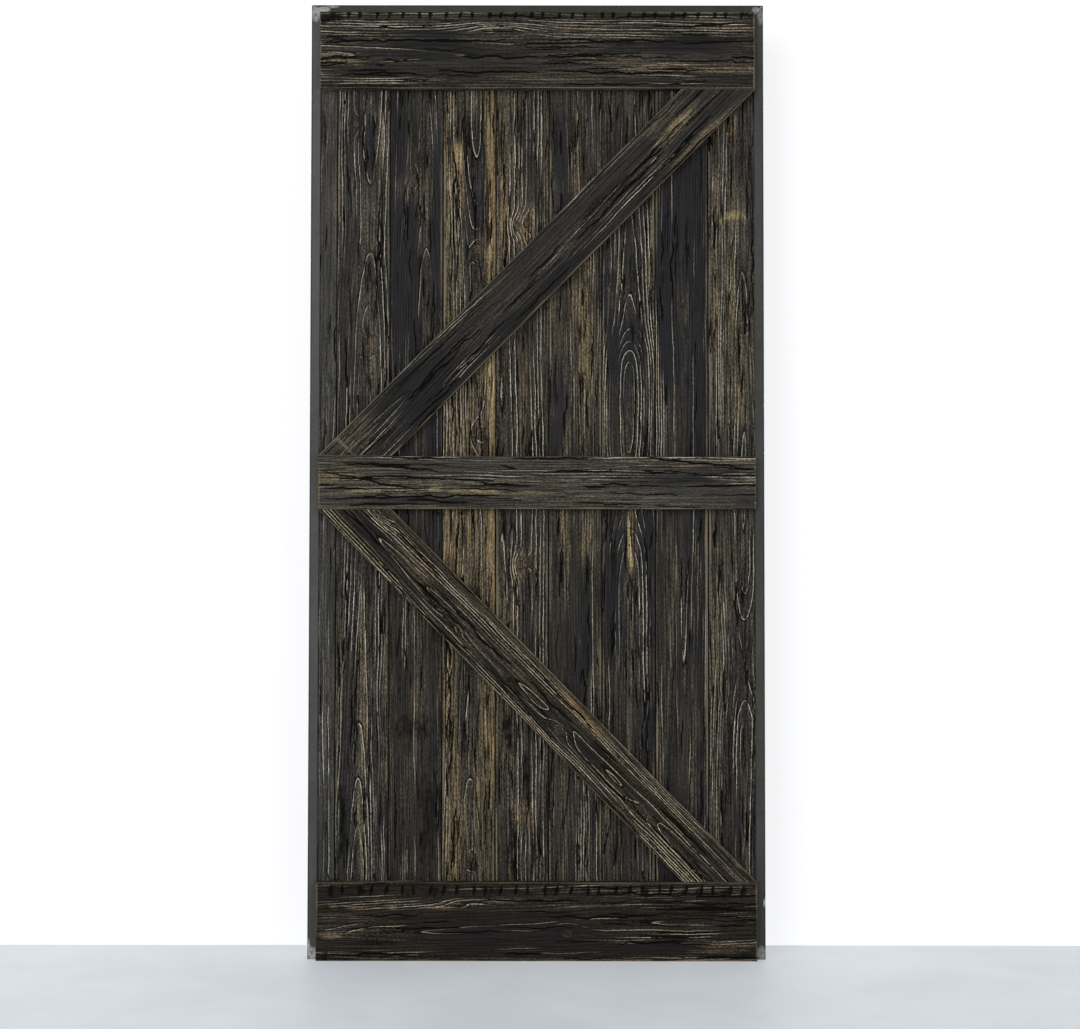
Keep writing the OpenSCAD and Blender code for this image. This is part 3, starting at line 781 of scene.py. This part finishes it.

# Coats of stain and wear, and the black of burns and of the painted shade in cracks, chops and plank
# sides: how far the fibre breaks each up, the levels where it starts and is full, and the most of it that
# shows
COATS = {
    "cool": (0.0, 0.50, 0.95, 0.85),
    "earth": (0.35, 0.12, 0.50, 0.80),
    "tan": (0.80, 0.38, 1.00, 1.00),
    "bare": (0.80, 0.95, MOST_TAN, 0.80),
    "lines": (0.20, 0.15, 0.75, 1.00),
    "edge": (0.60, 0.25, 0.90, 0.85),
    "crack": (0.0, 0.25, 0.70, 1.00),
    "burnt_and_shade": (0.0, 0.30, 0.90, 0.92),
}

# Green and blue that one unit of warmth takes away
WARM_GREEN, WARM_BLUE = 0.08, 0.17

# Colours of the wood, in sRGB; Pitch is also the black of the painted shade in grooves, cracks, chop
# marks and plank joints
PLANK_PALETTE = {
    "Black": (14, 14, 13), "Brown": (75, 71, 65), "Cool": (37, 37, 40), "Earth": (97, 88, 72),
    "Earth Low": (47, 42, 36), "Tan": (123, 107, 79), "Pale": (168, 160, 143), "Honey": (172, 156, 121),
    "Worn": (119, 108, 88), "Pitch": (9, 7, 4), "Knot Colour": (80, 61, 48),
}
RAIL_PALETTE = {
    "Black": (13, 13, 12), "Brown": (69, 65, 59), "Cool": (34, 33, 34), "Earth": (93, 84, 70),
    "Earth Low": (42, 38, 33), "Tan": (118, 103, 77), "Pale": (158, 150, 133), "Honey": (164, 148, 115),
    "Worn": (113, 103, 83), "Pitch": (9, 7, 4), "Knot Colour": (57, 47, 39),
}


def fibre_group():
    """Wood fibre at several scales, stretched along the grain."""
    tree, sheet, given, put = new_group(
        "wood_fibre", [("Grain", "Vector")], [(name, "Float") for name in FIBRES])
    for name, (scale, detail, rough, start, full) in FIBRES.items():
        found = sheet.noise(given["Grain"], scale, detail, rough)
        sheet.feed(put[name], sheet.ramp(found, start, full))
    return tree


def growth_group():
    """Raised late wood and the groove brushed out beside it, from the count of year rings."""
    tree, sheet, given, put = new_group(
        "growth_lines", [("Ring", "Float"), ("Rate", "Float"), ("Fine", "Float")],
        [("Ridge", "Float"), ("Groove", "Float"), ("Year", "Float")])
    shake = sheet.times(sheet.minus(given["Fine"], 0.5), given["Rate"])
    ring = sheet.scaled(shake, 0.8, given["Ring"])
    part = sheet.minus(sheet.math("FRACT", ring), 0.5)
    distance = sheet.math("DIVIDE", part, given["Rate"])
    rise = sheet.ramp(distance, LINE_START, LINE_FULL)
    fall = sheet.ramp(distance, LINE_END, LINE_DROP)
    sheet.feed(put["Ridge"], sheet.times(rise, fall))
    late = sheet.ramp(distance, LINE_DROP, GROOVE_FULL)
    early = sheet.ramp(distance, GROOVE_END, GROOVE_FADE)
    sheet.feed(put["Groove"], sheet.times(late, early))
    year = sheet.node("ShaderNodeTexWhiteNoise", noise_dimensions="1D")
    sheet.feed(year.inputs["W"], sheet.math("FLOOR", ring))
    sheet.feed(put["Year"], year.outputs["Value"])
    return tree


def coat_share(sheet, coat, level, grain):
    """Share of a coat that shows at this level of it."""
    broken, start, full, most = COATS[coat]
    return sheet.times(sheet.ramp(sheet.scaled(grain, broken, level), start, full), most)


def rubbed_colour(sheet, given, tan, cool, grain):
    """Stain from black to brown and blue-black, rubbed through to earth, tan and bare wood."""
    tone = sheet.plus(sheet.scaled(grain, 1.15, 0.42), given["Light"])
    tone = sheet.scaled(tan, 0.3, tone, clamp=True)
    colour = sheet.mix(tone, given["Black"], given["Brown"])
    cool_share = coat_share(sheet, "cool", sheet.scaled(given["Cloud"], 0.4, cool), grain)
    colour = sheet.mix(cool_share, colour, given["Cool"])
    fibres = sheet.scaled(given["Fine"], 0.28, sheet.times(given["Streak"], 0.72))
    earth = sheet.mix(fibres, given["Earth Low"], given["Earth"])
    colour = sheet.mix(coat_share(sheet, "earth", tan, grain), colour, earth)
    tan_share = coat_share(sheet, "tan", tan, grain)
    colour = sheet.mix(tan_share, colour, given["Tan"])
    colour = sheet.mix(coat_share(sheet, "bare", tan, grain), colour, given["Honey"])
    return colour, tan_share


def brushed_lines(sheet, given, lines, grain):
    """Shares of pale ridge and of black groove, stronger in some years than in others; the groove's black
    is partly stain and partly painted shade.
    """
    level = sheet.scaled(sheet.minus(given["Year"], 0.5), 0.8, lines)
    level = sheet.scaled(sheet.minus(given["Vein"], 0.5), 0.6, level)
    share = coat_share(sheet, "lines", level, grain)
    ridge = sheet.times(given["Ridge"], share)
    ridge = sheet.times(ridge, sheet.scaled(given["Knot"], -0.6, 1.0))
    groove = sheet.times(given["Groove"], sheet.scaled(share, 0.5, 0.45))
    return ridge, groove


def fibre_shade(sheet, given, depth):
    """Brightness of the single fibres: mottled, with pale hairs and dark pores."""
    shade = sheet.times(sheet.minus(given["Fine"], 0.5), depth)
    shade = sheet.scaled(shade, 0.45, 1.0)
    shade = sheet.scaled(sheet.times(given["Hair"], depth), 0.75, shade)
    pores = sheet.scaled(sheet.times(given["Pore"], depth), -0.9, 1.0)
    return sheet.times(shade, pores)


def warm_tint(sheet, warmth):
    """Colour factor that turns a hue towards red."""
    made = sheet.node("ShaderNodeCombineXYZ")
    made.inputs["X"].default_value = 1.0
    sheet.feed(made.inputs["Y"], sheet.scaled(warmth, -WARM_GREEN, 1.0))
    sheet.feed(made.inputs["Z"], sheet.scaled(warmth, -WARM_BLUE, 1.0))
    return made.outputs[0]


def stain_group():
    """Dark stain, rubbed through to tan wood, with pale ridges, black grooves that are partly stain and
    partly painted shade, and cracks painted black as shade.
    """
    colours = ["Stain", "Marks", *PLANK_PALETTE]
    values = ["Knot", "Light", "Warm", "Ridge", "Groove", "Year", *FIBRES]
    tree, sheet, given, put = new_group(
        "rubbed_stain",
        [(name, "Color") for name in colours] + [(name, "Float") for name in values],
        [("Colour", "Color"), ("Height", "Float"), ("Roughness", "Float")])
    tan, lines, cool = sheet.parts(given["Stain"])
    edge, crack, dark = sheet.parts(given["Marks"])
    fine = given["Fine"]
    depth = sheet.scaled(sheet.plus(lines, tan), 0.8, 0.35, clamp=True)
    streaks = sheet.times(sheet.minus(given["Streak"], 0.5), 0.58)
    grain = sheet.times(sheet.scaled(sheet.minus(fine, 0.5), 0.42, streaks), depth)
    colour, tan_share = rubbed_colour(sheet, given, tan, cool, grain)
    ridge, groove = brushed_lines(sheet, given, lines, grain)
    pale = sheet.mix(sheet.times(tan_share, 0.8), given["Pale"], given["Honey"])
    colour = sheet.mix(ridge, colour, pale)
    # Grooves beside the late wood painted black: partly stain, partly painted shade in the brushed
    # hollow.
    colour = sheet.mix(groove, colour, given["Pitch"])
    colour = sheet.product(colour, fibre_shade(sheet, given, depth))
    colour = sheet.product(colour, warm_tint(sheet, given["Warm"]))
    colour = sheet.mix(coat_share(sheet, "edge", edge, grain), colour, given["Worn"])
    knot_share = sheet.times(given["Knot"], sheet.ramp(fine, 0.3, 0.62))
    colour = sheet.mix(knot_share, colour, given["Knot Colour"])
    # Cracks painted black as painted shade; burns black, together with the painted shade of chops and
    # plank sides.
    black_share = sheet.math("MAXIMUM", coat_share(sheet, "crack", crack, grain),
                             coat_share(sheet, "burnt_and_shade", dark, grain))
    sheet.feed(put["Colour"], sheet.mix(black_share, colour, given["Pitch"]))
    sheet.feed(put["Height"], sheet.scaled(fine, 0.8, sheet.minus(ridge, groove)))
    rough = sheet.scaled(sheet.minus(fine, 0.5), 0.3, 0.68)
    sheet.feed(put["Roughness"], sheet.scaled(ridge, -0.1, rough))
    return tree


FIBRE_GROUP = fibre_group()
GROWTH_GROUP = growth_group()
STAIN_GROUP = stain_group()


def wood_material(name, palette):
    """Brushed, dark stained softwood."""
    material, sheet = new_material(name)
    fibre = sheet.group(FIBRE_GROUP, Grain=sheet.attribute("grain")["Vector"])
    growth = sheet.group(GROWTH_GROUP, Ring=sheet.attribute("ring")["Fac"],
                         Rate=sheet.attribute("ring_rate")["Fac"], Fine=fibre["Fine"])
    stain, marks = sheet.attribute("stain"), sheet.attribute("marks")
    looks = sheet.group(
        STAIN_GROUP, Stain=stain["Color"], Knot=stain["Alpha"], Marks=marks["Color"],
        Light=marks["Alpha"], Warm=sheet.attribute("warmth")["Fac"],
        **{key: growth[key] for key in ("Ridge", "Groove", "Year")},
        **{key: fibre[key] for key in FIBRES},
        **{key: linear(colour) for key, colour in palette.items()})
    sheet.principled(Base_Color=looks["Colour"], Roughness=looks["Roughness"], Specular_IOR_Level=0.04,
                     Normal=sheet.bump(looks["Height"], 1.0, 0.5))
    return material


plank_wood = wood_material("brushed_plank", PLANK_PALETTE)
rail_wood = wood_material("brushed_rail", RAIL_PALETTE)


# Planks, rails and braces

# Wear of the sides: none where planks join, whose sides are painted black as shade instead; some on
# rails; more on braces, partly painted light standing in for light from the floor below
PLANK_SIDE_WEAR, RAIL_SIDE_WEAR, BRACE_SIDE_WEAR_AND_LIGHT = 0.0, 0.5, 0.85
# Wear along the edges of rails and braces, wear at the ends of rails, and reach of wear in mm
RAIL_WEAR, RAIL_END_WEAR = 0.65, 0.85
PLANK_REACH, RAIL_REACH = 5.5, 3.0


def make_planks():
    for k, wood in PLANKS.items():
        name = f"plank_{k}"
        low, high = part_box(name)
        left_joint, right_joint = k > 1, k < len(PLANKS)
        left_wear = JOINT_WEAR[k - 2][1] if left_joint else 0.0
        right_wear = JOINT_WEAR[k - 1][0] if right_joint else 0.0
        body_right = high.x - (TONGUE_L if right_joint else 0)
        board = Board(name, (0, 0, 1), (1, 0, 0),
                      ((low.x + body_right) / 2, 0, (low.z + high.z) / 2),
                      high.z - low.z, body_right - low.x, -low.y, -high.y)
        bm = plank_mesh(board, left_joint, right_joint)
        finish_board(bm, board, wood, plank_wood, PLANK_CRACKS,
                     (left_wear, right_wear, 0.0, PLANK_REACH), PLANK_SIDE_WEAR)


def make_rails():
    for name in ("top_rail", "middle_rail", "bottom_rail"):
        low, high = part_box(name)
        board = Board(name, (1, 0, 0), (0, 0, 1), (0, 0, (low.z + high.z) / 2),
                      high.x - low.x, high.z - low.z, -low.y, -high.y)
        corners = [(low.x, high.y, low.z), (high.x, high.y, low.z),
                   (high.x, high.y, high.z), (low.x, high.y, high.z)]
        foot_wear = RAILS[name].get("foot_wear", RAIL_WEAR)
        finish_board(rail_mesh(board, corners), board, RAILS[name], rail_wood, RAIL_CRACKS,
                     (foot_wear, RAIL_WEAR, RAIL_END_WEAR, RAIL_REACH), RAIL_SIDE_WEAR)


def make_braces():
    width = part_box("middle_rail")[1].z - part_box("middle_rail")[0].z
    for name, rise in (("upper_brace", 1), ("lower_brace", -1)):
        low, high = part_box(name)
        span, height = high.x - low.x, high.z - low.z
        angle = math.atan2(height, span) + math.asin(width / math.hypot(span, height))
        along = Vector((math.cos(angle), 0, rise * math.sin(angle)))
        across = Vector((-rise * math.sin(angle), 0, math.cos(angle)))
        foot = width / math.sin(angle)
        start_z, end_z = (low.z, high.z) if rise > 0 else (high.z, low.z)
        corners = [(low.x, high.y, start_z), (low.x + foot, high.y, start_z),
                   (high.x, high.y, end_z), (high.x - foot, high.y, end_z)]
        board = Board(name, along, across, ((low.x + high.x) / 2, 0, (low.z + high.z) / 2),
                      height / math.sin(angle), width, -low.y, -high.y)
        finish_board(rail_mesh(board, corners), board, RAILS[name], rail_wood, RAIL_CRACKS,
                     (RAIL_WEAR, RAIL_WEAR, RAIL_WEAR, RAIL_REACH), BRACE_SIDE_WEAR_AND_LIGHT)


# Steel

# Places where the paint is rubbed or ground away: (x, z, half width, half height, share), in mm
BARE_SPOTS = [(-490, 2080, 10, 17, 0.62), (-474, 2090, 14, 6, 0.8), (-455, 2096, 15, 3, 0.5),
              (484, 2090, 9, 6, 0.55), (494, 2074, 7, 18, 0.35), (-488, 12, 11, 15, 1.0),
              (-497, 30, 3, 15, 0.8), (490, 14, 10, 15, 0.5), (498, 123, 3, 9, 0.9)]

# Breadth of the painted shade along the outer bend of the edges, and of the bend's scuffs where they
# start and are full, in metres
RIM_SHADE_W, SCUFF_START, SCUFF_FULL = 0.004, 0.0022, 0.0006
# Colours in sRGB of dust, of the painted shade along the bend and of bare steel, and the stray of the
# paint's own tone
DUST, RIM_SHADE, STEEL_LOW, STEEL_HIGH = (92, 92, 88), (12, 13, 14), (116, 116, 112), (190, 192, 188)
PAINT_STRAY = 6


def bare_share(sheet, x, z, ragged):
    """Share of paint gone from the bare spots."""
    bare = 0.0
    for spot_x, spot_z, half_w, half_h, share in BARE_SPOTS:
        dx = sheet.times(sheet.minus(x, spot_x / MM), MM / half_w)
        dz = sheet.times(sheet.minus(z, spot_z / MM), MM / half_h)
        away = sheet.plus(sheet.times(dx, dx), sheet.times(dz, dz))
        found = sheet.ramp(sheet.plus(away, ragged), 1.4, 0.6)
        bare = sheet.math("MAXIMUM", bare, sheet.times(found, share))
    return bare


def paint_group():
    """Satin paint, with painted shade along the outer bend, scuffed there and gone at the ground corners.
    """
    tree, sheet, given, put = new_group(
        "scuffed_paint", [("Place", "Vector"), ("Low", "Color"), ("High", "Color")],
        [("Colour", "Color"), ("Metallic", "Float"), ("Scuff", "Float")])
    place = given["Place"]
    parts = sheet.node("ShaderNodeSeparateXYZ")
    sheet.feed(parts.inputs[0], place)
    x, z = parts.outputs["X"], parts.outputs["Z"]
    mottle = sheet.noise(place, (60, 60, 60), 4.0, 0.6)
    scuff = sheet.noise(place, (260, 260, 160), 3.0, 0.6)
    streak = sheet.noise(place, (300, 300, 12), 3.0, 0.6)
    patch = sheet.noise(place, (14, 14, 5), 2.0, 0.5)
    from_side = sheet.minus(LEAF_HALF_W, sheet.math("ABSOLUTE", x))
    to_end = sheet.math("MINIMUM", z, sheet.minus(LEAF_H, z))
    inset = sheet.math("MINIMUM", from_side, to_end)
    cloud = sheet.scaled(mottle, 0.4, sheet.times(patch, 0.6))
    colour = sheet.mix(sheet.ramp(cloud, 0.35, 0.65), given["Low"], given["High"])
    dust = sheet.times(sheet.ramp(streak, 0.55, 0.75), 0.22)
    colour = sheet.mix(dust, colour, linear(DUST))
    # Painted shade: a dark band along the frame's outer edges, where its sides turn away.
    rim_shade = sheet.times(sheet.ramp(inset, RIM_SHADE_W, RIM_SHADE_W / 2), 0.7)
    colour = sheet.mix(rim_shade, colour, linear(RIM_SHADE))
    edge = sheet.ramp(inset, SCUFF_START, SCUFF_FULL)
    rubbed = sheet.times(edge, sheet.ramp(scuff, 0.55, 0.70))
    bare = bare_share(sheet, x, z, sheet.times(sheet.minus(scuff, 0.5), 3.0))
    worn = sheet.math("MAXIMUM", bare, sheet.times(rubbed, 0.45))
    steel = sheet.mix(sheet.ramp(scuff, 0.3, 0.7), linear(STEEL_LOW), linear(STEEL_HIGH))
    sheet.feed(put["Colour"], sheet.mix(worn, colour, steel))
    sheet.feed(put["Metallic"], sheet.times(worn, 0.4))
    sheet.feed(put["Scuff"], scuff)
    return tree


def metal_group():
    """Bare or plated metal with fine scratches."""
    tree, sheet, given, put = new_group(
        "scratched_metal", [("Place", "Vector"), ("Low", "Color"), ("High", "Color")],
        [("Colour", "Color"), ("Scratch", "Float")])
    scratch = sheet.noise(given["Place"], (900, 900, 300), 4.0, 0.65)
    sheet.feed(put["Colour"], sheet.mix(sheet.ramp(scratch, 0.3, 0.7), given["Low"], given["High"]))
    sheet.feed(put["Scratch"], scratch)
    return tree


PAINT_GROUP = paint_group()
METAL_GROUP = metal_group()


def paint_material(name, paint):
    """Dark satin paint on steel."""
    material, sheet = new_material(name)
    looks = sheet.group(PAINT_GROUP, Place=sheet.object_place(),
                        Low=linear([v - PAINT_STRAY for v in paint]),
                        High=linear([v + PAINT_STRAY for v in paint]))
    sheet.principled(Base_Color=looks["Colour"], Metallic=looks["Metallic"], Specular_IOR_Level=0.25,
                     Roughness=sheet.scaled(looks["Scuff"], 0.25, 0.5),
                     Normal=sheet.bump(looks["Scuff"], 0.35, 0.4))
    return material


def metal_material(name, low, high, polish):
    """Ground or plated metal."""
    material, sheet = new_material(name)
    looks = sheet.group(METAL_GROUP, Place=sheet.object_place(), Low=linear(low), High=linear(high))
    sheet.principled(Base_Color=looks["Colour"], Metallic=0.7,
                     Roughness=sheet.scaled(looks["Scratch"], 0.25, polish),
                     Normal=sheet.bump(looks["Scratch"], 0.3, 0.2))
    return material


def dress(nodes, material):
    """Gives CAD nodes a material in place of their own."""
    for name in nodes:
        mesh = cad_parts[name].data
        mesh.materials.clear()
        mesh.materials.append(material)


# One frame paint in lit and shaded copies: the left stile painted lighter as painted light from the left,
# the right stile darker and the head and sill darker still as painted shade.
head_paint_painted_shade = paint_material("head_paint_painted_shade", (42, 42, 39))
left_paint_painted_light = paint_material("left_stile_painted_light", (67, 66, 64))
right_paint_painted_shade = paint_material("right_stile_painted_shade", (53, 53, 51))
ground_weld = metal_material("ground_weld", (104, 105, 102), (150, 151, 148), 0.4)
zinc = metal_material("zinc_plate", (150, 148, 138), (196, 193, 180), 0.32)

make_planks()
make_rails()
make_braces()
dress(["frame_head", "frame_sill"], head_paint_painted_shade)
dress(["frame_stile_left"], left_paint_painted_light)
dress(["frame_stile_right"], right_paint_painted_shade)
dress(["corner_welds"], ground_weld)
dress([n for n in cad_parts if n.endswith("_screws")], zinc)


# Floor and backdrop

# Place of the wall behind the leaf, and reach of floor and wall, in metres
WALL_Y, REACH = 0.138, 9.0
# Floor colours in sRGB, as lit and as glowing, and strength of the glow of floor and wall
FLOOR_LOW, FLOOR_HIGH = (150, 154, 159), (160, 164, 168)
GLOW_LOW, GLOW_HIGH = (204, 209, 215), (213, 218, 224)
FLOOR_GLOW, WALL_GLOW = 0.49, 0.72
WALL_COLOUR = (0.35, 0.35, 0.36, 1)


def plane_piece(name, corners, material):
    bm = bmesh.new()
    bm.faces.new([bm.verts.new(corner) for corner in corners])
    mesh = bpy.data.meshes.new(name)
    bm.to_mesh(mesh)
    bm.free()
    mesh.materials.append(material)
    piece = bpy.data.objects.new(name, mesh)
    bpy.context.scene.collection.objects.link(piece)


def floor_material():
    """Pale concrete with faint clouds."""
    material, sheet = new_material("pale_concrete")
    tint = sheet.ramp(sheet.noise(sheet.object_place(), (2.2, 2.2, 2.2), 5.0, 0.6), 0.3, 0.7)
    sheet.principled(Base_Color=sheet.mix(tint, linear(FLOOR_LOW), linear(FLOOR_HIGH)),
                     Emission_Color=sheet.mix(tint, linear(GLOW_LOW), linear(GLOW_HIGH)),
                     Emission_Strength=FLOOR_GLOW, Roughness=0.5, Specular_IOR_Level=0.25)
    return material


def wall_material():
    """White wall, see-through from behind so that the leaf's back can be looked at."""
    material, sheet = new_material("white_wall")
    diffuse = sheet.node("ShaderNodeBsdfDiffuse")
    diffuse.inputs["Color"].default_value = WALL_COLOUR
    glow = sheet.node("ShaderNodeEmission")
    glow.inputs["Strength"].default_value = WALL_GLOW
    lit = sheet.node("ShaderNodeAddShader")
    sheet.feed(lit.inputs[0], diffuse.outputs[0])
    sheet.feed(lit.inputs[1], glow.outputs[0])
    clear = sheet.node("ShaderNodeBsdfTransparent")
    sides = sheet.node("ShaderNodeMixShader")
    sheet.feed(sides.inputs[0], sheet.node("ShaderNodeNewGeometry").outputs["Backfacing"])
    sheet.feed(sides.inputs[1], lit.outputs[0])
    sheet.feed(sides.inputs[2], clear.outputs[0])
    sheet.surface(sides.outputs[0])
    return material


plane_piece("floor", [(-REACH, -REACH, 0), (REACH, -REACH, 0), (REACH, REACH, 0), (-REACH, REACH, 0)],
            floor_material())
plane_piece("wall", [(-REACH, WALL_Y, 0), (REACH, WALL_Y, 0),
                     (REACH, WALL_Y, REACH), (-REACH, WALL_Y, REACH)], wall_material())


# Light

# Square lamps turned to the leaf's middle: place and breadth in metres, and watts
LAMPS = {
    "key": ((-2.2, -4.4, 2.9), 2.8, 128),
    "fill": ((3.0, -4.0, 1.5), 2.8, 55),
    "rear_key": ((2.2, 4.2, 3.2), 2.6, 120),
}
LEAF_MIDDLE = Vector((0, 0, LEAF_H / 2))
AMBIENT_COLOUR, AMBIENT = (0.96, 0.98, 1.0, 1), 0.4


def area_light(name, place, size, watts):
    data = bpy.data.lights.new(name, "AREA")
    data.shape = "SQUARE"
    data.size = size
    data.energy = watts
    lamp = bpy.data.objects.new(name, data)
    lamp.location = place
    lamp.rotation_mode = "QUATERNION"
    lamp.rotation_quaternion = (LEAF_MIDDLE - Vector(place)).to_track_quat("-Z", "Y")
    bpy.context.scene.collection.objects.link(lamp)


def plain_world():
    """Dim light from all round, which the camera sees as near white."""
    world = bpy.data.worlds.new("studio")
    bpy.context.scene.world = world
    world.use_nodes = True
    world.node_tree.nodes.clear()
    sheet = Sheet(world.node_tree)
    path = sheet.node("ShaderNodeLightPath").outputs
    seen = sheet.math("MAXIMUM", path["Is Camera Ray"], path["Is Glossy Ray"])
    seen = sheet.math("MAXIMUM", seen, path["Is Transmission Ray"])
    ambient = sheet.node("ShaderNodeBackground")
    ambient.inputs["Color"].default_value = AMBIENT_COLOUR
    ambient.inputs["Strength"].default_value = AMBIENT
    white = sheet.node("ShaderNodeBackground")
    white.inputs["Strength"].default_value = 1.0
    both = sheet.node("ShaderNodeMixShader")
    sheet.feed(both.inputs[0], seen)
    sheet.feed(both.inputs[1], ambient.outputs[0])
    sheet.feed(both.inputs[2], white.outputs[0])
    sheet.feed(sheet.node("ShaderNodeOutputWorld").inputs["Surface"], both.outputs[0])


for lamp_name, (place, size, watts) in LAMPS.items():
    area_light(lamp_name, place, size, watts)
plain_world()


# Camera at the photograph's place

PHOTO_W = 1080
FOCAL_PX = 1820
SENSOR_W = 36.0
CAMERA_X, CAMERA_Z = 0.0068, 0.845
CAMERA_AWAY = 3.996
CAMERA_PITCH, CAMERA_ROLL = 1.80, 0.06


def photo_camera():
    data = bpy.data.cameras.new("photo_camera")
    data.sensor_width = SENSOR_W
    data.lens = FOCAL_PX / PHOTO_W * SENSOR_W
    data.clip_end = 100
    camera = bpy.data.objects.new("photo_camera", data)
    turn = Matrix.Rotation(math.radians(90 + CAMERA_PITCH), 4, "X")
    turn = turn @ Matrix.Rotation(math.radians(CAMERA_ROLL), 4, "Z")
    camera.matrix_world = Matrix.Translation((CAMERA_X, FLANGE_FACE_Y - CAMERA_AWAY, CAMERA_Z)) @ turn
    bpy.context.scene.collection.objects.link(camera)
    bpy.context.scene.camera = camera


photo_camera()
bpy.context.scene.view_settings.view_transform = "Standard"
